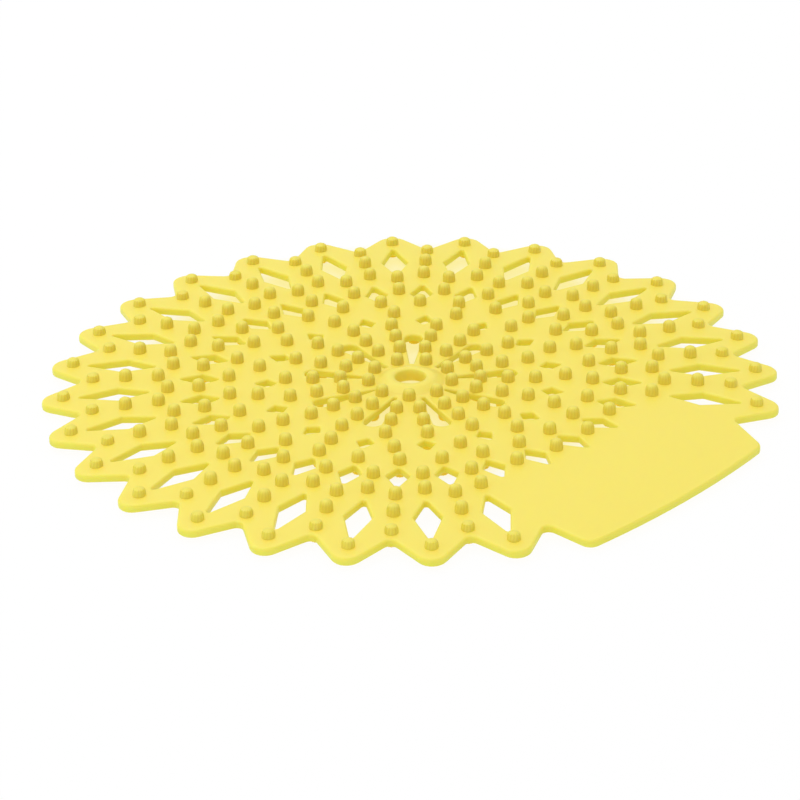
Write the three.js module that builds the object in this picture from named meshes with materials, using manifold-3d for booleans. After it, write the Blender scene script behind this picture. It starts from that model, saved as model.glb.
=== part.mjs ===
// Urinal deodorizer screen: one soft moulded disc with a petalled edge, a plain grip panel,
// four rings of drain holes round a hub hole, and short nubs on both faces.
// Millimetres, +Z up. The origin is on the hub axis, in the plane that the lowest nubs stand on.
// The grip panel points to -Y.
import * as THREE from "three";
import { mergeVertices } from "three/addons/utils/BufferGeometryUtils.js";
import Module from "manifold-3d";

const wasm = await Module();
wasm.setup();

// Plate
const plate_thickness = 2.1;
const tip_radius = 92.5;
const flat_radius = 63.0; // inside it the plate is flat, outside it each petal dips to its tip
const petal_drop = 1.5; // how far the tips dip

// Petals
const petal_count = 28;
const tip_round = 4.0;
const notch_depth = 9.0;
const notch_round = 1.7;

// Grip panel, which stands in place of some of the petals
const panel_petals = 4;
const panel_setback = 2.2; // middle of its edge, inside the circle of the tips
const panel_bow = 2.4; // rise of its curved edge
const panel_lean_left = 0.4; // how far the -X side leans in from the notch to the corner
const panel_lean_right = 5.7; // the same on the +X side
const panel_corner_round = 3.4;

// Nubs
const nub_height = 2.7;
const rim_nub_height = 1.7; // the two rings of nubs nearest the edge are lower
const under_nub_height = 1.5;
const nub_radius = 1.7; // to the corners of its sides
const nub_root = 0.6; // how deep a nub is rooted in the plate
const top_nub_sides = 5;
const under_nub_sides = 4;

// Nub rings that follow the edge
const tip_nub_inset = 5.5;
const notch_nub_inset = 3.3;
const spoke_nub_gap = 5.0; // from the mid holes to the innermost nub in a row
const spoke_nub_rows = 3;
const neck_nub_gap = 3.8; // from the rim holes to the nubs inside them

// Nub rings by their own radius
const mid_nub_radius = 53.1;
const inner_nub_radius = 45.7;
const small_nub_radius = 38.9;
const kite_nub_outer = 31.4;
const kite_nub_pitch = 6.9;
const kite_nub_rows = 3;
const hub_nub_radius = 10.6;
const kite_end_radius = 29.6; // only under the plate
const kite_nub_spread = 10.6; // degrees to each side of a kite hole

// Rim holes, one in each petal
const rim_hole_inset = 8.2;
const rim_hole_gap = 6.1; // from the mid holes to the rim holes
const rim_hole_waist = 8.6; // from the inner corner to the widest place
const rim_hole_width = 6.9;

// Mid holes, between the petals' axes
const mid_hole_gap = 2.2; // from the centres of the inner nubs to the mid holes
const mid_hole_length = 10.7;
const mid_hole_waist = 4.5;
const mid_hole_width = 5.8;

// Small holes
const small_hole_count = 15;
const small_hole_inner = 33.4;
const small_hole_length = 5.9;
const small_hole_waist = 2.4;
const small_hole_width = 4.4;

// Kite holes, narrow towards the hub
const kite_hole_count = 9;
const kite_hole_inner = 10.0;
const kite_hole_outer = 27.1;
const kite_hole_tip_width = 0.9;
const kite_hole_width = 4.6;
const kite_arc_steps = 5;

// Hub
const hub_hole_radius = 3.9;
const hub_boss_radius = 7.6;
const hub_boss_top_radius = 6.0;
const hub_boss_height = 1.2;
const hub_sides = 20;

// Facets of the rounded corners
const tip_steps = 5;
const notch_steps = 2;
const panel_corner_steps = 4;
const panel_edge_steps = 6;

const pitch = (2 * Math.PI) / petal_count;
const half_pitch = pitch / 2;
const panel_axis = -Math.PI / 2;
const notch_radius = tip_radius - notch_depth;
const cut_margin = 1; // how far a cutter stands out of what it cuts

const polar = (radius, angle) =>
  new THREE.Vector2(radius * Math.cos(angle), radius * Math.sin(angle));

// Each petal is level across its own width and dips along its axis, from a fold that lies
// between the notches' axes.
const fold_reach = flat_radius * Math.cos(half_pitch);
const dip_slope = petal_drop / (tip_radius - fold_reach);

// How far the plate lies below its flat middle at a place.
function dipAt(radius, angle) {
  const petal = Math.floor((angle - panel_axis) / pitch);
  const petal_axis = panel_axis + (petal + 0.5) * pitch;
  const along = radius * Math.cos(angle - petal_axis);
  return dip_slope * Math.max(0, along - fold_reach);
}

// Underside of the flat middle: the outermost nubs then just reach z = 0.
const tip_nub_radius = tip_radius - tip_nub_inset;
const under_face = under_nub_height + dipAt(tip_nub_radius, panel_axis + half_pitch);
const top_face = under_face + plate_thickness;

// The straight flank of a petal touches the round of its tip and the round of the notch.
// It gives the sharp points that the flanks would meet in.
function petalCorners() {
  const tip_centre = new THREE.Vector2(tip_radius - tip_round, 0);
  const notch_centre = polar(notch_radius + notch_round, half_pitch);
  const across = notch_centre.clone().sub(tip_centre);
  const lean = Math.acos((tip_round + notch_round) / across.length());
  const facing = across.angle() - lean;
  const normal = polar(1, facing);
  const reach = normal.dot(tip_centre) + tip_round;
  const apex = reach / normal.x;
  const root = reach / normal.dot(polar(1, half_pitch));
  return { apex, root };
}

// Rounds each corner of a closed outline by its own radius and number of steps.
function roundedOutline(corners) {
  const points = [];
  corners.forEach(({ at, round, steps }, i) => {
    if (!round) {
      points.push(at);
      return;
    }
    const before = corners[(i + corners.length - 1) % corners.length].at;
    const after = corners[(i + 1) % corners.length].at;
    const back = before.clone().sub(at);
    const ahead = after.clone().sub(at);
    const half_angle = Math.acos(back.clone().normalize().dot(ahead.clone().normalize())) / 2;
    const room = 0.49 * Math.min(back.length(), ahead.length());
    const run = Math.min(round / Math.tan(half_angle), room);
    const fillet = run * Math.tan(half_angle);
    const inward = back.clone().normalize().add(ahead.clone().normalize()).normalize();
    const centre = at.clone().addScaledVector(inward, fillet / Math.sin(half_angle));
    const start = at.clone().addScaledVector(back.normalize(), run).sub(centre);
    const end = at.clone().addScaledVector(ahead.normalize(), run).sub(centre);
    const turn = Math.atan2(start.cross(end), start.dot(end));
    for (let step = 0; step <= steps; step += 1) {
      const spoke = start.clone().rotateAround(new THREE.Vector2(), (turn * step) / steps);
      points.push(centre.clone().add(spoke));
    }
  });
  return points;
}

// Outline of the whole disc, anticlockwise from the notch after the panel.
function discOutline() {
  const { apex, root } = petalCorners();
  const corners = [];
  const first_notch = panel_axis + (panel_petals / 2) * pitch;
  const kept_petals = petal_count - panel_petals;
  for (let petal = 0; petal < kept_petals; petal += 1) {
    const notch = first_notch + petal * pitch;
    corners.push({ at: polar(root, notch), round: notch_round, steps: notch_steps });
    corners.push({ at: polar(apex, notch + half_pitch), round: tip_round, steps: tip_steps });
  }
  const last_notch = first_notch + kept_petals * pitch;
  corners.push({ at: polar(root, last_notch), round: notch_round, steps: notch_steps });

  // The panel is drawn along +X and turned to its place.
  const side_notch = polar(root, (panel_petals / 2) * pitch);
  const half_width = side_notch.y - (panel_lean_left + panel_lean_right) / 2;
  const middle = new THREE.Vector2(0, (panel_lean_left - panel_lean_right) / 2);
  const reach = tip_radius - panel_setback;
  const bow_radius = (half_width ** 2 + panel_bow ** 2) / (2 * panel_bow);
  const half_bow = Math.asin(half_width / bow_radius);
  for (let step = 0; step <= panel_edge_steps; step += 1) {
    const angle = half_bow * ((2 * step) / panel_edge_steps - 1);
    const point = polar(bow_radius, angle);
    point.x += reach - bow_radius;
    point.add(middle);
    const at_corner = step === 0 || step === panel_edge_steps;
    corners.push({
      at: point.rotateAround(new THREE.Vector2(), panel_axis),
      round: at_corner ? panel_corner_round : 0,
      steps: panel_corner_steps,
    });
  }
  return roundedOutline(corners);
}

// Hole outlines lie along +X, from the inner corner outwards.
function diamondHole(inner, length, waist, width) {
  return [
    new THREE.Vector2(inner, 0),
    new THREE.Vector2(inner + waist, -width / 2),
    new THREE.Vector2(inner + length, 0),
    new THREE.Vector2(inner + waist, width / 2),
  ];
}

function kiteHole() {
  const radius = kite_hole_width / 2;
  const centre = kite_hole_outer - radius;
  const points = [new THREE.Vector2(kite_hole_inner, -kite_hole_tip_width / 2)];
  for (let step = 0; step <= kite_arc_steps; step += 1) {
    const point = polar(radius, Math.PI * (step / kite_arc_steps - 0.5));
    points.push(point.add(new THREE.Vector2(centre, 0)));
  }
  points.push(new THREE.Vector2(kite_hole_inner, kite_hole_tip_width / 2));
  return points;
}

// A closed geometry as a solid for joining and cutting.
function solidOf(geometry) {
  const bare = geometry.clone();
  bare.deleteAttribute("normal");
  bare.deleteAttribute("uv");
  const merged = mergeVertices(bare, 1e-4);
  return new wasm.Manifold(
    new wasm.Mesh({
      numProp: 3,
      vertProperties: new Float32Array(merged.attributes.position.array),
      triVerts: new Uint32Array(merged.index.array),
    }),
  );
}

// An outline extruded from one height to another.
function prism(points, low, high) {
  const geometry = new THREE.ExtrudeGeometry(new THREE.Shape(points), {
    depth: high - low,
    steps: 1,
    bevelEnabled: false,
  });
  return solidOf(geometry.translate(0, 0, low));
}

// A regular many-sided outline round a point.
function ngon(radius, sides, place = new THREE.Vector2(), turn = 0) {
  return Array.from({ length: sides }, (_, i) =>
    polar(radius, turn + (2 * Math.PI * i) / sides).add(place),
  );
}

const spread = (count, start = 0) =>
  Array.from({ length: count }, (_, i) => start + (i * 2 * Math.PI) / count);

const petal_axes = spread(petal_count, panel_axis + half_pitch);
const notch_axes = spread(petal_count, panel_axis);

// Angle from the middle of the panel, without sign.
const fromPanel = (angle) =>
  Math.abs(Math.atan2(Math.sin(angle - panel_axis), Math.cos(angle - panel_axis)));
const panel_half_angle = (panel_petals / 2) * pitch;
const clearOfPanel = (angle) => fromPanel(angle) > panel_half_angle + half_pitch / 2;

const free_petals = petal_axes.filter(clearOfPanel);
const free_notches = notch_axes.filter(clearOfPanel);
const kite_axes = spread(kite_hole_count);
const kite_sides = kite_axes.flatMap((axis) => [
  axis - THREE.MathUtils.degToRad(kite_nub_spread),
  axis + THREE.MathUtils.degToRad(kite_nub_spread),
]);
const between_kites = spread(kite_hole_count, Math.PI / kite_hole_count);
const mid_hole_inner = inner_nub_radius + mid_hole_gap;
const mid_hole_outer = mid_hole_inner + mid_hole_length;
const rim_hole_inner = mid_hole_outer + rim_hole_gap;
const rim_hole_length = tip_radius - rim_hole_inset - rim_hole_inner;
const notch_nub_radius = notch_radius - notch_nub_inset;

// The rings of nubs that both faces have, each with its radius and its angles.
const rim_rings = [
  { radius: tip_nub_radius, angles: free_petals },
  { radius: notch_nub_radius, angles: free_notches },
];
const shared_rings = [
  { radius: mid_nub_radius, angles: petal_axes },
  { radius: inner_nub_radius, angles: notch_axes },
  { radius: small_nub_radius, angles: spread(small_hole_count) },
  { radius: hub_nub_radius, angles: between_kites },
];
for (let row = 1; row < spoke_nub_rows; row += 1) {
  const inward = row / (spoke_nub_rows - 1);
  const radius = THREE.MathUtils.lerp(notch_nub_radius, mid_hole_outer + spoke_nub_gap, inward);
  shared_rings.push({ radius, angles: free_notches });
}
for (let row = 0; row < kite_nub_rows; row += 1) {
  const radius = kite_nub_outer - row * kite_nub_pitch;
  shared_rings.push({ radius, angles: kite_sides });
}
const neck_ring = { radius: rim_hole_inner - neck_nub_gap, angles: free_petals };
const kite_end_ring = { radius: kite_end_radius, angles: kite_axes };

// Straight nubs on every place of the rings, each with a corner pointing outwards.
function nubs(rings, sides, low, high) {
  return rings.flatMap(({ radius, angles }) =>
    angles.map((angle) => {
      const outline = ngon(nub_radius, sides, polar(radius, angle), angle);
      const dip = dipAt(radius, angle);
      return prism(outline, low - dip, high - dip);
    }),
  );
}

function holes() {
  const low = under_face - under_nub_height - cut_margin;
  const high = top_face + nub_height + cut_margin;
  const turned = (points, angle) =>
    points.map((point) => point.clone().rotateAround(new THREE.Vector2(), angle));
  const rings = [
    [free_petals, diamondHole(rim_hole_inner, rim_hole_length, rim_hole_waist, rim_hole_width)],
    [notch_axes, diamondHole(mid_hole_inner, mid_hole_length, mid_hole_waist, mid_hole_width)],
    [
      spread(small_hole_count, Math.PI / small_hole_count),
      diamondHole(small_hole_inner, small_hole_length, small_hole_waist, small_hole_width),
    ],
    [kite_axes, kiteHole()],
  ];
  const cutters = rings.flatMap(([angles, points]) =>
    angles.map((angle) => prism(turned(points, angle), low, high)),
  );
  cutters.push(prism(ngon(hub_hole_radius, hub_sides), low, high));
  return cutters;
}

// The hub stands a little proud of the plate, as a ring with sloping sides round its hole.
function hubBoss() {
  const foot = top_face - nub_root;
  const height = hub_boss_height + nub_root;
  const geometry = new THREE.CylinderGeometry(hub_boss_top_radius, hub_boss_radius, height, hub_sides);
  geometry.rotateX(Math.PI / 2);
  geometry.translate(0, 0, foot + height / 2);
  const bore = prism(ngon(hub_hole_radius, hub_sides), foot - cut_margin, foot + height + cut_margin);
  return solidOf(geometry).subtract(bore);
}

// A disc wider than the screen, flat in the middle and dipping petal by petal outside it.
function dippedDisc() {
  const core = hub_hole_radius / 2; // the hub hole takes the rest
  const far = tip_radius / Math.cos(half_pitch) + cut_margin;
  const far_dip = dip_slope * (far - flat_radius) * Math.cos(half_pitch);
  const profile = [
    new THREE.Vector2(core, under_face),
    new THREE.Vector2(flat_radius, under_face),
    new THREE.Vector2(far, under_face - far_dip),
    new THREE.Vector2(far, top_face - far_dip),
    new THREE.Vector2(flat_radius, top_face),
    new THREE.Vector2(core, top_face),
    new THREE.Vector2(core, under_face),
  ];
  const geometry = new THREE.LatheGeometry(profile, petal_count);
  geometry.rotateX(Math.PI / 2);
  return solidOf(geometry);
}

function screenGeometry() {
  const margin = petal_drop + cut_margin;
  const outline = prism(discOutline(), under_face - margin, top_face + margin);
  const plate = dippedDisc().intersect(outline).subtract(wasm.Manifold.union(holes()));
  const upper = [...shared_rings, neck_ring];
  const lower = [...rim_rings, ...shared_rings, kite_end_ring];
  const root = top_face - nub_root;
  const body = wasm.Manifold.union([
    plate,
    ...nubs(upper, top_nub_sides, root, top_face + nub_height),
    ...nubs(rim_rings, top_nub_sides, root, top_face + rim_nub_height),
    ...nubs(lower, under_nub_sides, under_face - under_nub_height, under_face + nub_root),
    hubBoss(),
  ]);
  const mesh = body.getMesh();
  const geometry = new THREE.BufferGeometry();
  geometry.setAttribute("position", new THREE.BufferAttribute(mesh.vertProperties, 3));
  geometry.setIndex(new THREE.BufferAttribute(mesh.triVerts, 1));
  geometry.computeVertexNormals();
  return geometry;
}

const soft_yellow = new THREE.MeshStandardMaterial({
  color: 0xf2dc4a,
  roughness: 0.5,
  metalness: 0,
});

const screen = new THREE.Mesh(screenGeometry(), soft_yellow);
screen.name = "screen";

const group = new THREE.Group();
group.add(screen);

export default group;
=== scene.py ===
"""Dresses a soft moulded urinal deodorizer screen and its plain white stage."""

import math

import bmesh
import bpy
from mathutils import Matrix, Vector


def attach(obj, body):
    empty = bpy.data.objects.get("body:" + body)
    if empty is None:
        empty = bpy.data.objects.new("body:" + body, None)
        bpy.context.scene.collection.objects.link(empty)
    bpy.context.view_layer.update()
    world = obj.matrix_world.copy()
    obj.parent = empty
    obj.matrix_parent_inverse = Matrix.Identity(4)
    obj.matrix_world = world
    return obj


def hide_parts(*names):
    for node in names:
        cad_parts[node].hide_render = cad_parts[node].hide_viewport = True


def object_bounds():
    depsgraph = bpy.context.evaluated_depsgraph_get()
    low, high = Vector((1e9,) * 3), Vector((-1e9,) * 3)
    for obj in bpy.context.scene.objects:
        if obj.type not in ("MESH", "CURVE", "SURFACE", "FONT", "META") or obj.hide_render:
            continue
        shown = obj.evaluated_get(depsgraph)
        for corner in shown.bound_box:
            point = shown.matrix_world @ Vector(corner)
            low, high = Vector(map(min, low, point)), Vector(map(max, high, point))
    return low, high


bl_info = {
    "name": "Drain screen",
    "version": (1, 0, 0),
    "blender": (4, 5, 0),
    "location": "View3D > Sidebar > Drain screen",
    "description": "Builds a petalled drain screen with fluted nubs, and its stage",
    "category": "Add Mesh",
}

MM = 0.001

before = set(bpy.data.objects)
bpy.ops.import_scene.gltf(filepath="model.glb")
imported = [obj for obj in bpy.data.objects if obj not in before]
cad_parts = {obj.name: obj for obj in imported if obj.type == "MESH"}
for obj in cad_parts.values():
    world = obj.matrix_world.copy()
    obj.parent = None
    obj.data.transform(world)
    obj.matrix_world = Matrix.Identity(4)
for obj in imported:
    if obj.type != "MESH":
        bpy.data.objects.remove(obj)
CAD_BOX = [list(corner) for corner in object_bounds()]
BASE_Z = CAD_BOX[0][2]

PETALS = 28
PITCH = 2 * math.pi / PETALS
PANEL_PETALS = 4
PANEL_AXIS = -math.pi / 2
PANEL_HALF_ANGLE = PANEL_PETALS / 2 * PITCH
SMALL_HOLES = 15
KITE_HOLES = 9
SPOKE_ROWS = 3
KITE_ROWS = 3

# Points closer than this are one point.
WELD = 0.002 * MM
# A broad face points up or down at least this much while it is flat, and once it is crowned.
FLAT_NORMAL = 0.999
CROWNED_NORMAL = 0.97


def length(name, millimetres, description):
    """A length property whose default is given in millimetres."""
    return bpy.props.FloatProperty(
        name=name,
        description=description,
        default=millimetres * MM,
        min=0,
        precision=4,
        unit="LENGTH",
        subtype="DISTANCE",
    )


def share(name, default, description):
    """A property that holds a share between none and all."""
    return bpy.props.FloatProperty(
        name=name,
        description=description,
        default=default,
        min=0,
        max=1,
        subtype="FACTOR",
    )


def linear(hex_colour):
    """An sRGB hex colour as linear RGB."""
    values = [int(hex_colour[i : i + 2], 16) / 255 for i in (1, 3, 5)]
    return [v / 12.92 if v <= 0.04045 else ((v + 0.055) / 1.055) ** 2.4 for v in values]


def colour(name, hex_colour, description):
    """A colour property whose default is given as an sRGB hex value."""
    return bpy.props.FloatVectorProperty(
        name=name,
        description=description,
        default=linear(hex_colour),
        min=0,
        max=1,
        size=3,
        subtype="COLOR",
    )


class ScreenPlate(bpy.types.PropertyGroup):
    """The plate, its petals and its grip panel."""

    tip_radius: length("Tip radius", 92.5, "From the hub axis to the tips of the petals")
    thickness: length("Thickness", 2.1, "Thickness of the plate")
    edge_round: length("Edge round", 0.55, "Rounding of every edge of the plate")
    flat_radius: length("Flat radius", 56, "Inside this radius the plate is flat")
    crown_drop: length("Crown drop", 1.6, "How far the plate curls down to its tips")
    notch_depth: length("Notch depth", 9, "Depth of the notches between the petals")
    tip_round: length("Tip round", 4, "Rounding radius of a petal's tip")
    notch_round: length("Notch round", 1.7, "Rounding radius of a notch")
    panel_setback: length("Panel setback", 2.2, "From the tip circle to the panel's edge")
    panel_bow: length("Panel bow", 2.4, "Rise of the panel's curved edge")
    lean_left: length("Left lean", 0.4, "How far the panel's -X side leans in to its corner")
    lean_right: length("Right lean", 5.7, "How far the panel's +X side leans in to its corner")
    panel_round: length("Panel corner round", 3.4, "Rounding radius of the panel's corners")
    hub_hole: length("Hub hole radius", 3.9, "Radius of the hole in the hub")
    hub_height: length("Hub height", 1.2, "How far the hub stands proud of the plate")
    hub_top: length("Hub top radius", 5.6, "Radius of the hub's level top")
    hub_foot: length("Hub foot radius", 8.6, "Radius at which the hub meets the plate")
    hub_seat: length("Hub seat", 0.9, "How far the hub's foot reaches into the plate")


class ScreenHoles(bpy.types.PropertyGroup):
    """The rings of drain holes."""

    corner_round: length("Corner round", 0.5, "Rounding radius of the holes' corners")
    rim_outer: length("Rim hole end", 84.3, "Radius of the rim holes' outer corners")
    rim_length: length("Rim hole length", 19.6, "Length of a rim hole")
    rim_waist: length("Rim hole waist", 8.6, "From the inner corner to the widest place")
    rim_width: length("Rim hole width", 6.9, "Width of a rim hole")
    mid_outer: length("Mid hole end", 58.6, "Radius of the mid holes' outer corners")
    mid_length: length("Mid hole length", 10.7, "Length of a mid hole")
    mid_waist: length("Mid hole waist", 4.5, "From the inner corner to the widest place")
    mid_width: length("Mid hole width", 5.8, "Width of a mid hole")
    small_outer: length("Small hole end", 39.3, "Radius of the small holes' outer corners")
    small_length: length("Small hole length", 5.9, "Length of a small hole")
    small_waist: length("Small hole waist", 2.4, "From the inner corner to the widest place")
    small_width: length("Small hole width", 4.4, "Width of a small hole")
    kite_outer: length("Kite hole end", 27.1, "Radius of the kite holes' round ends")
    kite_inner: length("Kite hole start", 10, "Radius of the kite holes' narrow ends")
    kite_width: length("Kite hole width", 4.6, "Width of a kite hole's round end")
    kite_tip: length("Kite hole tip width", 0.9, "Width of a kite hole's narrow end")


class ScreenNubs(bpy.types.PropertyGroup):
    """The nubs and their rings."""

    radius: length("Nub radius", 1.63, "Radius of a nub at its widest")
    flare: length("Flare", 1.7, "Radius of a nub's foot")
    height: length("Nub height", 2.7, "Height of an upper nub above the plate")
    rim_height: length("Rim nub height", 2.0, "Height of the upper nubs nearest the edge")
    under_height: length("Lower nub height", 1.5, "Height of a lower nub")
    root: length("Nub root", 0.3, "How deep a nub is sunk in the plate")
    flutes: bpy.props.IntProperty(
        name="Flutes",
        description="Number of fine grooves round a nub",
        default=12,
        min=4,
        max=16,
    )
    flute_depth: length("Flute depth", 0.2, "Depth of the grooves round a nub")
    crown: length("Nub crown", 1.2, "Height of a nub's rounded top")
    shoulder_drop: share("Shoulder drop", 0.35, "Part of the crown above its shoulder")
    shoulder_width: share("Shoulder width", 0.87, "Width of the shoulder to a nub's own")
    top_width: share("Top width", 0.42, "Width of the level top to a nub's own")
    # Shares of the painted groove shade on each part of a nub.
    side_shade: share("Side tint", 0.3, "Groove colour in the ridges of a nub's sides")
    shoulder_shade: share("Shoulder tint", 0.35, "Groove colour in the ridges of its shoulder")
    end_shade: share("End tint", 0.5, "Groove colour in a nub's foot and level top")
    tip_ring: length("Tip ring", 87, "Radius of the nubs in the petals' tips")
    neck_ring: length("Neck ring", 60.9, "Radius of the nubs inside the rim holes")
    mid_ring: length("Mid ring", 53.1, "Radius of the nubs between the mid holes")
    inner_ring: length("Inner ring", 45.7, "Radius of the nubs inside the mid holes")
    small_ring: length("Small ring", 38.9, "Radius of the nubs between the small holes")
    hub_ring: length("Hub ring", 10.6, "Radius of the nubs round the hub")
    kite_end_ring: length("Kite end ring", 29.6, "Radius of the lower nubs beyond the kites")
    spoke_ring: length("Spoke ring", 80.2, "Radius of the outer nubs inside the notches")
    spoke_pitch: length("Spoke pitch", 8.3, "From one nub to the next inside a notch")
    kite_ring: length("Kite ring", 31.4, "Radius of the outer nubs beside the kite holes")
    kite_pitch: length("Kite pitch", 6.9, "From one nub to the next beside a kite hole")
    kite_spread: bpy.props.FloatProperty(
        name="Kite spread",
        description="Angle of the nubs to each side of a kite hole",
        default=math.radians(10.6),
        subtype="ANGLE",
    )


class ScreenFinish(bpy.types.PropertyGroup):
    """Colours of the scented plastic, and the painted shade and painted light on it."""

    plate: colour("Plate", "#F4E462", "The plate's lemon yellow")
    # Painted shade: the deeper yellow painted on steep faces, the sides of nubs and the walls
    # of holes.
    depth: colour("Depth", "#F2E65E", "The deeper yellow of nubs and walls")
    # Painted light: the green-yellow glow painted on the foot of each wall.
    lime_glow: colour("Lime", "#DDE458", "The lime of the foot of each wall")
    # Painted light: the warm yellow painted on the lower nubs, for light that comes through
    # the plate.
    glow: colour("Glow", "#F6E04A", "The warm yellow of the lower nubs")
    # Painted shade: the deeper yellow painted in the grooves of the nubs, and in part on the
    # rest of each nub.
    groove: colour("Groove", "#E6D854", "The deeper yellow in the grooves of the nubs")
    shade: colour("Shade", "#FAEE9C", "The tint of the light that comes through a skin")


class ScreenStage(bpy.types.PropertyGroup):
    """The camera and the floor."""

    azimuth: bpy.props.FloatProperty(
        name="Azimuth",
        description="Turn of the camera round the hub axis",
        default=math.radians(-47.55),
        subtype="ANGLE",
    )
    elevation: bpy.props.FloatProperty(
        name="Elevation",
        description="Height of the camera above the horizon",
        default=math.radians(26.05),
        subtype="ANGLE",
    )
    roll: bpy.props.FloatProperty(
        name="Roll",
        description="Turn of the picture about the line of sight",
        default=math.radians(-1.27),
        subtype="ANGLE",
    )
    distance: length("Distance", 1059.5, "From the camera to the point it looks at")
    focal: bpy.props.FloatProperty(
        name="Focal length",
        description="Focal length in millimetres on a 36 mm sensor",
        default=190.3,
    )
    aim: bpy.props.FloatVectorProperty(
        name="Aim",
        description="The point that the camera looks at",
        default=(-4.7 * MM, -0.6 * MM, 1.2 * MM),
        size=3,
        subtype="XYZ",
        unit="LENGTH",
    )
    floor: colour("Floor", "#FFFFFF", "Colour of the floor")
    # Painted light: the yellow patch painted on the floor under the screen, for light that
    # comes through the plastic.
    lit_floor: colour("Lit floor", "#FFF6B0", "Colour of the floor under the screen")
    wash_x: length("Wash X", 18, "Along X to the middle of the floor's tinted patch")
    wash_y: length("Wash Y", 16, "Along Y to the middle of the floor's tinted patch")
    wash_start: length("Wash start", 60, "Radius at which the tinted patch begins to fade")
    wash_end: length("Wash end", 72, "Radius at which the tinted patch has faded out")
    patch_glow: share("Patch glow", 0.7, "How far the tinted patch is lifted to its colour")
    open_glow: share("Open glow", 0.94, "How far the open floor is lifted to white")
    surround: share("Surround", 0.71, "Strength of the white surround")


def polar(radius, angle, z=0.0):
    """A point at a radius and an angle round the hub axis."""
    return Vector((radius * math.cos(angle), radius * math.sin(angle), z))


def spread(count, start=0.0):
    """Evenly spaced angles round the hub axis."""
    return [start + 2 * math.pi * i / count for i in range(count)]


def clear_of_panel(angle):
    """Whether a petal or notch on this axis is clear of the grip panel."""
    turn = math.remainder(angle - PANEL_AXIS, 2 * math.pi)
    return abs(turn) > PANEL_HALF_ANGLE + PITCH / 4


PETAL_AXES = spread(PETALS, PANEL_AXIS + PITCH / 2)
NOTCH_AXES = spread(PETALS, PANEL_AXIS)
FREE_PETALS = [a for a in PETAL_AXES if clear_of_panel(a)]
FREE_NOTCHES = [a for a in NOTCH_AXES if clear_of_panel(a)]
KITE_AXES = spread(KITE_HOLES)


def crown_at(radius):
    """How far the plate lies below its flat middle at a radius."""
    plate = bpy.context.scene.screen_plate
    out = max(0.0, radius - plate.flat_radius) / (plate.tip_radius - plate.flat_radius)
    return plate.crown_drop * out * out


def plate_faces():
    """Heights of the underside and the top of the plate's flat middle."""
    plate = bpy.context.scene.screen_plate
    nubs = bpy.context.scene.screen_nubs
    under = BASE_Z + nubs.under_height + crown_at(nubs.tip_ring)
    return under, under + plate.thickness


def lowered(bm):
    """Lowers every vertex by the plate's crown at its radius."""
    for vert in bm.verts:
        vert.co.z -= crown_at(vert.co.xy.length)


def rounded(corners, steps=5):
    """Turns (corner, rounding radius) pairs into the points of an outline."""
    points = []
    for i, (corner, radius) in enumerate(corners):
        if not radius:
            points.append(corner)
            continue
        back = corners[i - 1][0] - corner
        ahead = corners[(i + 1) % len(corners)][0] - corner
        half_angle = back.angle(ahead) / 2
        room = 0.49 * min(back.length, ahead.length)
        run = min(radius / math.tan(half_angle), room)
        inward = (back.normalized() + ahead.normalized()).normalized()
        centre = corner + inward * run / math.cos(half_angle)
        start = corner + back.normalized() * run - centre
        end = corner + ahead.normalized() * run - centre
        turn = -start.xy.angle_signed(end.xy)
        for step in range(steps + 1):
            points.append(centre + Matrix.Rotation(turn * step / steps, 3, "Z") @ start)
    return points


def petal_corners(plate):
    """Radii of the sharp points where the straight flanks of a petal would meet."""
    tip_centre = Vector((plate.tip_radius - plate.tip_round, 0, 0))
    notch = plate.tip_radius - plate.notch_depth + plate.notch_round
    across = polar(notch, PITCH / 2) - tip_centre
    lean = math.acos((plate.tip_round + plate.notch_round) / across.length)
    normal = polar(1, math.atan2(across.y, across.x) - lean)
    reach = normal.dot(tip_centre) + plate.tip_round
    return reach / normal.x, reach / normal.dot(polar(1, PITCH / 2))


def disc_outline(plate):
    """The petalled outline with the grip panel in place of some petals."""
    apex, root = petal_corners(plate)
    corners = []
    for axis in FREE_PETALS:
        corners.append((polar(root, axis - PITCH / 2), plate.notch_round))
        corners.append((polar(apex, axis), plate.tip_round))
    corners.append((polar(root, PANEL_AXIS - PANEL_HALF_ANGLE), plate.notch_round))

    half_width = polar(root, PANEL_HALF_ANGLE).y - (plate.lean_left + plate.lean_right) / 2
    bow_radius = (half_width**2 + plate.panel_bow**2) / (2 * plate.panel_bow)
    half_bow = math.asin(half_width / bow_radius)
    reach = plate.tip_radius - plate.panel_setback
    bow_steps = 12
    for step in range(bow_steps + 1):
        point = polar(bow_radius, half_bow * (2 * step / bow_steps - 1))
        point.x += reach - bow_radius
        point.y += (plate.lean_left - plate.lean_right) / 2
        at_corner = step in (0, bow_steps)
        turned = Matrix.Rotation(PANEL_AXIS, 3, "Z") @ point
        corners.append((turned, plate.panel_round if at_corner else 0))
    return rounded(corners, steps=8)


def diamond(outer, size, waist, width, corner_round):
    """A diamond hole along +X."""
    inner = outer - size
    corners = [
        Vector((inner, 0, 0)),
        Vector((inner + waist, -width / 2, 0)),
        Vector((outer, 0, 0)),
        Vector((inner + waist, width / 2, 0)),
    ]
    return rounded([(corner, corner_round) for corner in corners], steps=3)


def kite(holes):
    """A hole along +X that is narrow towards the hub and round at its far end."""
    radius = holes.kite_width / 2
    centre = Vector((holes.kite_outer - radius, 0, 0))
    arc = [centre + polar(radius, math.pi * (step / 10 - 0.5)) for step in range(11)]
    low = Vector((holes.kite_inner, -holes.kite_tip / 2, 0))
    high = Vector((holes.kite_inner, holes.kite_tip / 2, 0))
    return [low, *arc, high]


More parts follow.
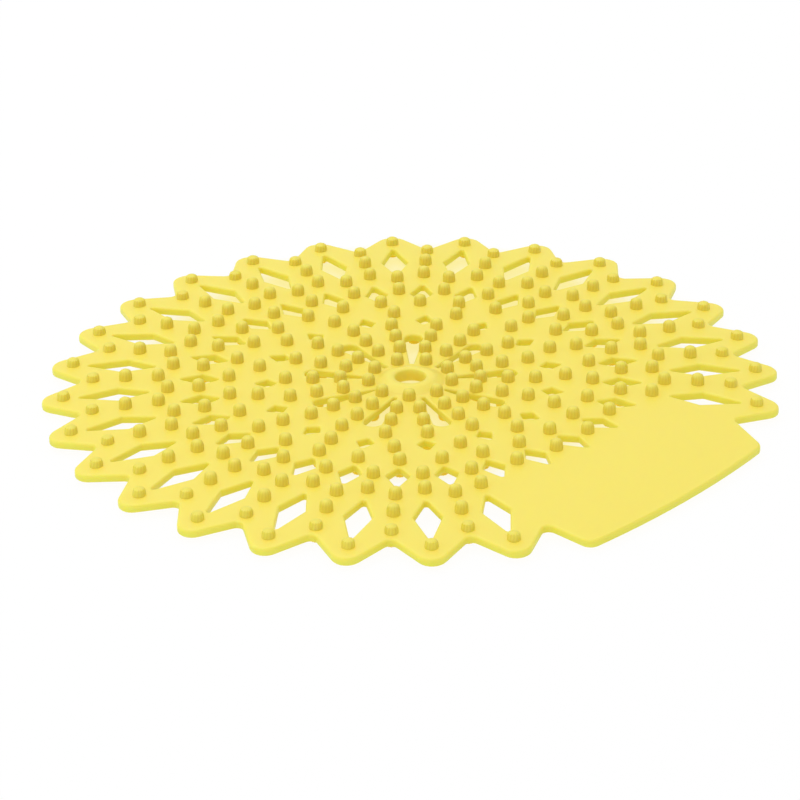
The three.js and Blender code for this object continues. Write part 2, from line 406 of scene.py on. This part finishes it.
def drain_outlines(plate, holes):
    """The outline of every hole in the plate."""
    r = holes.corner_round
    rim = diamond(holes.rim_outer, holes.rim_length, holes.rim_waist, holes.rim_width, r)
    mid = diamond(holes.mid_outer, holes.mid_length, holes.mid_waist, holes.mid_width, r)
    small = diamond(
        holes.small_outer, holes.small_length, holes.small_waist, holes.small_width, r
    )
    rings = [
        (rim, FREE_PETALS),
        (mid, NOTCH_AXES),
        (small, spread(SMALL_HOLES, math.pi / SMALL_HOLES)),
        (kite(holes), KITE_AXES),
    ]
    seat = plate.hub_hole + plate.hub_seat
    seat_sides = 32
    outlines = [[polar(seat, angle) for angle in spread(seat_sides)]]
    for outline, angles in rings:
        for angle in angles:
            turn = Matrix.Rotation(angle, 3, "Z")
            outlines.append([turn @ point for point in outline])
    return outlines


def add_node(tree, kind, links=(), **settings):
    """Adds a shader node, sets its inputs or attributes, and links (output, input) pairs."""
    node = tree.nodes.new(kind)
    for key, value in settings.items():
        if hasattr(node, key):
            setattr(node, key, value)
        else:
            node.inputs[key.replace("_", " ")].default_value = value
    for output, name in links:
        tree.links.new(output, node.inputs[name])
    return node


def new_material(name):
    """A material with an empty node tree."""
    material = bpy.data.materials.new(name)
    material.use_nodes = True
    material.node_tree.nodes.clear()
    return material, material.node_tree


def scented_plastic(name, lit_through):
    """Soft EVA moulded with scented oil: a satin skin over a body that lets light through."""
    finish = bpy.context.scene.screen_finish
    material, tree = new_material(name)

    # Painted shade: steep faces, the sides of nubs and the walls of holes, take a deeper
    # yellow than the plate, for the light that crosses more plastic there.
    surface = add_node(tree, "ShaderNodeNewGeometry")
    upward = add_node(
        tree, "ShaderNodeSeparateXYZ", links=[(surface.outputs["Normal"], "Vector")]
    )
    level = add_node(tree, "ShaderNodeMath", operation="ABSOLUTE")
    tree.links.new(upward.outputs["Z"], level.inputs[0])
    steepness = add_node(
        tree,
        "ShaderNodeMapRange",
        links=[(level.outputs["Value"], "Value")],
        From_Min=0.3,
        From_Max=0.97,
    )
    # Painted light: the foot of each wall is painted green-yellow, for the light that runs in
    # the plate and comes out there.
    foot = add_node(tree, "ShaderNodeAttribute", attribute_name="wall_foot")
    # Steep faces and grooves take painted shade, or the painted glow where a nub is lit
    # through the plate.
    steep_shading = finish.glow if lit_through else finish.depth
    groove = finish.glow if lit_through else finish.groove
    wall = add_node(
        tree,
        "ShaderNodeMixRGB",
        links=[(foot.outputs["Fac"], "Fac")],
        Color1=(*steep_shading, 1),
        Color2=(*finish.lime_glow, 1),
    )
    tone = add_node(
        tree,
        "ShaderNodeMixRGB",
        links=[(steepness.outputs["Result"], "Fac"), (wall.outputs["Color"], "Color1")],
        Color2=(*finish.plate, 1),
    )
    # Painted shade: the grooves of a nub take all of the groove colour, and its ridges, foot
    # and level top a part of it.
    grooves = add_node(tree, "ShaderNodeAttribute", attribute_name="nub_shade")
    fluted = add_node(
        tree,
        "ShaderNodeMixRGB",
        links=[(grooves.outputs["Fac"], "Fac"), (tone.outputs["Color"], "Color1")],
        Color2=(*groove, 1),
    )
    body = add_node(
        tree,
        "ShaderNodeBsdfPrincipled",
        links=[(fluted.outputs["Color"], "Base Color")],
        Roughness=0.45,
        IOR=1.48,
        Subsurface_Weight=0.6,
        Subsurface_Radius=(1.0, 0.8, 0.2),
        Subsurface_Scale=3 * MM,
    )

    # Lamp light and bounced light cross the plastic and leave it yellow.
    through = add_node(tree, "ShaderNodeBsdfTransparent", Color=(*finish.shade, 1))
    rays = add_node(tree, "ShaderNodeLightPath")
    shader = body
    for crossing in ("Is Shadow Ray", "Is Diffuse Ray"):
        mixed = add_node(
            tree, "ShaderNodeMixShader", links=[(rays.outputs[crossing], "Fac")]
        )
        tree.links.new(shader.outputs[0], mixed.inputs[1])
        tree.links.new(through.outputs["BSDF"], mixed.inputs[2])
        shader = mixed
    add_node(
        tree, "ShaderNodeOutputMaterial", links=[(shader.outputs[0], "Surface")]
    )
    return material


def get_plastic(lit_through):
    """The one plastic of the screen, or a copy of it painted with the warm glow of light that
    comes through the plate.
    """
    name = "moulded_eva_lit_through" if lit_through else "moulded_scented_eva"
    return bpy.data.materials.get(name) or scented_plastic(name, lit_through)


def place_piece(name, mesh, smooth_angle=None, lit_through=False):
    """Links a finished piece that stands in for the CAD screen."""
    piece = bpy.data.objects.new(name, mesh)
    bpy.context.scene.collection.objects.link(piece)
    mesh.materials.clear()
    mesh.materials.append(get_plastic(lit_through))
    mesh.shade_smooth()
    if smooth_angle:
        mesh.set_sharp_from_angle(angle=smooth_angle)
    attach(piece, "root")
    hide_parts("screen")
    return piece


def nub_rings(lower):
    """(radius, angles) of each ring of nubs on the upper or the lower face."""
    nubs = bpy.context.scene.screen_nubs
    kite_sides = [a + s * nubs.kite_spread for a in KITE_AXES for s in (-1, 1)]
    rings = [
        (nubs.tip_ring, FREE_PETALS),
        (nubs.mid_ring, PETAL_AXES),
        (nubs.inner_ring, NOTCH_AXES),
        (nubs.small_ring, spread(SMALL_HOLES)),
        (nubs.hub_ring, spread(KITE_HOLES, math.pi / KITE_HOLES)),
    ]
    for row in range(SPOKE_ROWS):
        rings.append((nubs.spoke_ring - row * nubs.spoke_pitch, FREE_NOTCHES))
    for row in range(KITE_ROWS):
        rings.append((nubs.kite_ring - row * nubs.kite_pitch, kite_sides))
    if lower:
        rings.append((nubs.kite_end_ring, KITE_AXES))
    else:
        rings.append((nubs.neck_ring, FREE_PETALS))
    return rings


def fluted_nub(nubs, height):
    """A fluted nub with a soft crown, standing on the origin, and a share of painted shade for
    each vertex.
    """
    bm = bmesh.new()
    crown = min(nubs.crown, height / 2)
    bmesh.ops.create_circle(bm, segments=2 * nubs.flutes, radius=nubs.flare)
    bmesh.ops.translate(bm, verts=bm.verts, vec=(0, 0, -nubs.root))
    shoulder = height - nubs.shoulder_drop * crown
    shoulder_radius = nubs.radius * nubs.shoulder_width
    top_radius = nubs.radius * nubs.top_width
    levels = [
        (height - crown, nubs.radius, nubs.flute_depth, nubs.side_shade),
        (shoulder, shoulder_radius, nubs.flute_depth, nubs.shoulder_shade),
        (height, top_radius, 0, nubs.end_shade),
    ]
    shade_weights = [nubs.end_shade] * len(bm.verts)
    edges = list(bm.edges)
    for z, radius, depth, tint in levels:
        grown = bmesh.ops.extrude_edge_only(bm, edges=edges)["geom"]
        ring = [item for item in grown if isinstance(item, bmesh.types.BMVert)]
        edges = [item for item in grown if isinstance(item, bmesh.types.BMEdge)]
        edges = [edge for edge in edges if all(v in ring for v in edge.verts)]
        for vert in ring:
            angle = math.atan2(vert.co.y, vert.co.x)
            groove = round(angle / (math.pi / nubs.flutes)) % 2
            vert.co = polar(radius - depth * groove, angle, z)
            shade_weights.append(1.0 if depth and groove else tint)
    bmesh.ops.contextual_create(bm, geom=edges)
    bmesh.ops.recalc_face_normals(bm, faces=bm.faces)
    mesh = bpy.data.meshes.new("nub")
    bm.to_mesh(mesh)
    bm.free()
    return mesh, shade_weights


def nub_field(name, lower):
    """All the nubs of one face as a single piece."""
    nubs = bpy.context.scene.screen_nubs
    under, top = plate_faces()
    bm = bmesh.new()
    for radius, angles in nub_rings(lower):
        z = (under if lower else top) - crown_at(radius)
        near_rim = radius > nubs.spoke_ring - nubs.spoke_pitch / 2
        height = nubs.rim_height if near_rim else nubs.height
        nub, shade_weights = fluted_nub(nubs, nubs.under_height if lower else height)
        if lower:
            nub.transform(Matrix.Rotation(math.pi, 4, "X"))
        for angle in angles:
            first = len(bm.verts)
            bm.from_mesh(nub)
            bm.verts.ensure_lookup_table()
            place = Matrix.Translation(polar(radius, angle, z))
            turn = Matrix.Rotation(angle, 4, "Z")
            bmesh.ops.transform(bm, matrix=place @ turn, verts=bm.verts[first:])
        bpy.data.meshes.remove(nub)
    mesh = bpy.data.meshes.new(name)
    bm.to_mesh(mesh)
    bm.free()
    # Every nub has the same number of vertices in the same order, so the shares of painted
    # shade repeat.
    tint = mesh.attributes.new("nub_shade", "FLOAT", "POINT")
    tint.data.foreach_set("value", shade_weights * (len(mesh.vertices) // len(shade_weights)))
    place_piece(name, mesh, smooth_angle=math.radians(42), lit_through=lower)


class DRAINSCREEN_OT_plate(bpy.types.Operator):
    """Make the petalled plate with its drain holes"""

    bl_idname = "drainscreen.make_plate"
    bl_label = "Make plate"

    def execute(self, context):
        plate = context.scene.screen_plate
        under, top = plate_faces()
        curve = bpy.data.curves.new("plate_outline", "CURVE")
        curve.dimensions = "2D"
        curve.fill_mode = "BOTH"
        curve.extrude = plate.thickness / 2 - plate.edge_round
        curve.bevel_depth = plate.edge_round
        curve.bevel_resolution = 2
        curve.offset = -plate.edge_round
        outlines = [disc_outline(plate)]
        outlines += drain_outlines(plate, context.scene.screen_holes)
        for outline in outlines:
            spline = curve.splines.new("POLY")
            spline.points.add(len(outline) - 1)
            for point, target in zip(spline.points, outline):
                point.co = (*target, 1)
            spline.use_cyclic_u = True
        flat = bpy.data.objects.new("plate_outline", curve)
        context.scene.collection.objects.link(flat)
        context.view_layer.update()
        mesh = bpy.data.meshes.new_from_object(
            flat.evaluated_get(context.evaluated_depsgraph_get())
        )
        bpy.data.objects.remove(flat)
        bpy.data.curves.remove(curve)

        bm = bmesh.new()
        bm.from_mesh(mesh)
        bmesh.ops.remove_doubles(bm, verts=bm.verts, dist=WELD)
        # Short, even triangles let the broad faces follow the crown.
        for longest in (12 * MM, 8 * MM):
            inner = [edge for edge in bm.edges if self.inside(edge)]
            broad = {face for edge in inner for face in edge.link_faces}
            bmesh.ops.beautify_fill(bm, faces=list(broad), edges=inner)
            long = [e for e in bm.edges if self.inside(e) and e.calc_length() > longest]
            bmesh.ops.subdivide_edges(bm, edges=long, cuts=1)
            bmesh.ops.triangulate(bm, faces=bm.faces)
        foot = bm.verts.layers.float.new("wall_foot")
        for vert in bm.verts:
            vert[foot] = 0.5 - vert.co.z / plate.thickness
        bmesh.ops.translate(bm, verts=bm.verts, vec=(0, 0, (under + top) / 2))
        lowered(bm)
        bmesh.ops.recalc_face_normals(bm, faces=bm.faces)
        bm.to_mesh(mesh)
        bm.free()
        mesh.name = "plate"
        place_piece("plate", mesh)
        self.shade_crown(mesh)
        return {"FINISHED"}

    @staticmethod
    def inside(edge):
        """Whether an edge lies within one of the two broad faces."""
        return all(abs(face.normal.z) > FLAT_NORMAL for face in edge.link_faces)

    @staticmethod
    def shade_crown(mesh):
        """Shades the two broad faces as the smooth crown that their long triangles follow."""
        normals = []
        step = 0.1 * MM
        for face in mesh.polygons:
            broad = abs(face.normal.z) > CROWNED_NORMAL
            for index in face.vertices:
                point = mesh.vertices[index].co
                radius = point.xy.length
                slope = (crown_at(radius + step) - crown_at(radius)) / step
                level = polar(slope, math.atan2(point.y, point.x), 1).normalized()
                facing = math.copysign(1, face.normal.z)
                normals.append(level * facing if broad else Vector((0, 0, 0)))
        mesh.normals_split_custom_set(normals)


class DRAINSCREEN_OT_hub(bpy.types.Operator):
    """Make the low boss round the hub hole"""

    bl_idname = "drainscreen.make_hub"
    bl_label = "Make hub"

    def execute(self, context):
        plate = context.scene.screen_plate
        under, top = plate_faces()
        soft = 0.3 * MM
        rim = top + plate.hub_height
        seat = plate.hub_hole + plate.hub_seat
        middle = (plate.hub_top + plate.hub_foot) / 2
        # (radius, height) round the section: up the bore, over the soft shoulder, down, back.
        profile = [
            (plate.hub_hole + soft, under),
            (plate.hub_hole, under + soft),
            (plate.hub_hole, rim - soft),
            (plate.hub_hole + soft, rim),
            (plate.hub_top, rim),
            (middle - 2 * soft, top + 0.75 * plate.hub_height),
            (middle + 2 * soft, top + 0.2 * plate.hub_height),
            (plate.hub_foot, top),
            (seat + 3 * soft, (under + top) / 2),
            (seat + 2 * soft, under + soft / 10),
            (seat, under),
        ]
        bm = bmesh.new()
        verts = [bm.verts.new((x, 0, z)) for x, z in profile]
        edges = [bm.edges.new(pair) for pair in zip(verts, [*verts[1:], verts[0]])]
        bmesh.ops.spin(
            bm,
            geom=[*verts, *edges],
            cent=(0, 0, 0),
            axis=(0, 0, 1),
            angle=2 * math.pi,
            steps=48,
            use_merge=True,
        )
        bmesh.ops.remove_doubles(bm, verts=bm.verts, dist=WELD)
        bmesh.ops.recalc_face_normals(bm, faces=bm.faces)
        mesh = bpy.data.meshes.new("hub")
        bm.to_mesh(mesh)
        bm.free()
        place_piece("hub", mesh, smooth_angle=math.radians(60))
        return {"FINISHED"}


class DRAINSCREEN_OT_upper_nubs(bpy.types.Operator):
    """Make the nubs on the upper face"""

    bl_idname = "drainscreen.make_upper_nubs"
    bl_label = "Make upper nubs"

    def execute(self, context):
        nub_field("upper_nubs", lower=False)
        return {"FINISHED"}


class DRAINSCREEN_OT_lower_nubs(bpy.types.Operator):
    """Make the nubs on the lower face"""

    bl_idname = "drainscreen.make_lower_nubs"
    bl_label = "Make lower nubs"

    def execute(self, context):
        nub_field("lower_nubs", lower=True)
        return {"FINISHED"}


class DRAINSCREEN_OT_stage(bpy.types.Operator):
    """Make the floor, the soft lights and the camera"""

    bl_idname = "drainscreen.make_stage"
    bl_label = "Make stage"

    def execute(self, context):
        scene = context.scene
        self.add_floor(scene)
        self.add_lights(scene)
        self.add_camera(scene)
        scene.view_settings.view_transform = "Standard"
        return {"FINISHED"}

    def add_floor(self, scene):
        stage = scene.screen_stage
        bm = bmesh.new()
        bmesh.ops.create_grid(bm, x_segments=1, y_segments=1, size=4)
        mesh = bpy.data.meshes.new("floor")
        bm.to_mesh(mesh)
        bm.free()
        floor = bpy.data.objects.new("floor", mesh)
        scene.collection.objects.link(floor)
        floor.location.z = BASE_Z

        # White seamless paper, with a painted yellow patch for the light that comes through
        # the plastic.
        material, tree = new_material("white_paper")
        white = (*stage.floor, 1)
        paper = add_node(tree, "ShaderNodeBsdfDiffuse", Color=white)
        place = add_node(tree, "ShaderNodeTexCoord")
        reach = add_node(tree, "ShaderNodeVectorMath", operation="DISTANCE")
        tree.links.new(place.outputs["Object"], reach.inputs[0])
        reach.inputs[1].default_value = (stage.wash_x, stage.wash_y, 0)
        fade = add_node(
            tree,
            "ShaderNodeMapRange",
            links=[(reach.outputs["Value"], "Value")],
            From_Min=stage.wash_start,
            From_Max=stage.wash_end,
        )
        hue = add_node(
            tree,
            "ShaderNodeMixRGB",
            links=[(fade.outputs["Result"], "Fac")],
            Color1=(*stage.lit_floor, 1),
            Color2=white,
        )
        glow = add_node(
            tree, "ShaderNodeEmission", links=[(hue.outputs["Color"], "Color")], Strength=1
        )
        # Where the camera or gloss sees the paper, a painted glow of studio light washes its
        # shadow out, less on the yellow patch.
        wash = add_node(
            tree,
            "ShaderNodeMapRange",
            links=[(fade.outputs["Result"], "Value")],
            To_Min=stage.patch_glow,
            To_Max=stage.open_glow,
        )
        rays = add_node(tree, "ShaderNodeLightPath")
        seen = add_node(tree, "ShaderNodeMath", operation="MAXIMUM")
        tree.links.new(rays.outputs["Is Camera Ray"], seen.inputs[0])
        tree.links.new(rays.outputs["Is Glossy Ray"], seen.inputs[1])
        lift = add_node(tree, "ShaderNodeMath", operation="MULTIPLY")
        tree.links.new(seen.outputs["Value"], lift.inputs[0])
        tree.links.new(wash.outputs["Result"], lift.inputs[1])
        mixed = add_node(
            tree, "ShaderNodeMixShader", links=[(lift.outputs["Value"], "Fac")]
        )
        tree.links.new(paper.outputs["BSDF"], mixed.inputs[1])
        tree.links.new(glow.outputs["Emission"], mixed.inputs[2])
        add_node(
            tree,
            "ShaderNodeOutputMaterial",
            links=[(mixed.outputs["Shader"], "Surface")],
        )
        mesh.materials.append(material)

    def add_lights(self, scene):
        world = bpy.data.worlds.new("soft_surround")
        world.use_nodes = True
        background = world.node_tree.nodes["Background"]
        background.inputs["Color"].default_value = (1, 1, 1, 1)
        background.inputs["Strength"].default_value = scene.screen_stage.surround
        scene.world = world
        # Name, place and size in metres, and power in watts.
        lamps = [
            ("overhead_softbox", (0.1, 0.5, 1.3), 1.2, 6.4),
            ("left_softbox", (-1.3, 0.2, 0.9), 0.9, 2.8),
        ]
        for name, place, size, watts in lamps:
            light = bpy.data.lights.new(name, "AREA")
            light.size = size
            light.energy = watts
            lamp = bpy.data.objects.new(name, light)
            lamp.location = place
            lamp.rotation_euler = Vector(place).to_track_quat("Z", "Y").to_euler()
            scene.collection.objects.link(lamp)

    def add_camera(self, scene):
        stage = scene.screen_stage
        data = bpy.data.cameras.new("camera")
        data.sensor_width = 36
        data.lens = stage.focal
        data.clip_start = 0.05
        data.clip_end = 20
        camera = bpy.data.objects.new("camera", data)
        level = math.cos(stage.elevation)
        back = Vector(
            (
                math.sin(stage.azimuth) * level,
                -math.cos(stage.azimuth) * level,
                math.sin(stage.elevation),
            )
        )
        camera.location = Vector(stage.aim) + back * stage.distance
        look = (-back).to_track_quat("-Z", "Y").to_matrix()
        roll = Matrix.Rotation(stage.roll, 3, "Z")
        camera.rotation_euler = (look @ roll).to_euler()
        scene.collection.objects.link(camera)
        scene.camera = camera


class DRAINSCREEN_PT_panel(bpy.types.Panel):
    """Lists the steps that build the screen and its stage"""

    bl_idname = "DRAINSCREEN_PT_panel"
    bl_label = "Drain screen"
    bl_space_type = "VIEW_3D"
    bl_region_type = "UI"
    bl_category = "Drain screen"

    def draw(self, context):
        for operator in OPERATORS:
            self.layout.operator(operator.bl_idname)
        for key in GROUPS:
            group = getattr(context.scene, key)
            box = self.layout.box()
            for name in group.bl_rna.properties.keys():
                if name not in ("rna_type", "name"):
                    box.prop(group, name)


GROUPS = {
    "screen_plate": ScreenPlate,
    "screen_holes": ScreenHoles,
    "screen_nubs": ScreenNubs,
    "screen_finish": ScreenFinish,
    "screen_stage": ScreenStage,
}
OPERATORS = (
    DRAINSCREEN_OT_plate,
    DRAINSCREEN_OT_hub,
    DRAINSCREEN_OT_upper_nubs,
    DRAINSCREEN_OT_lower_nubs,
    DRAINSCREEN_OT_stage,
)
CLASSES = (*GROUPS.values(), *OPERATORS, DRAINSCREEN_PT_panel)


def register():
    for cls in CLASSES:
        bpy.utils.register_class(cls)
    for key, group in GROUPS.items():
        setattr(bpy.types.Scene, key, bpy.props.PointerProperty(type=group))


def unregister():
    for key in GROUPS:
        delattr(bpy.types.Scene, key)
    for cls in reversed(CLASSES):
        bpy.utils.unregister_class(cls)


def main():
    register()
    bpy.ops.drainscreen.make_plate()
    bpy.ops.drainscreen.make_hub()
    bpy.ops.drainscreen.make_upper_nubs()
    bpy.ops.drainscreen.make_lower_nubs()
    bpy.ops.drainscreen.make_stage()


if __name__ == "__main__":
    main()
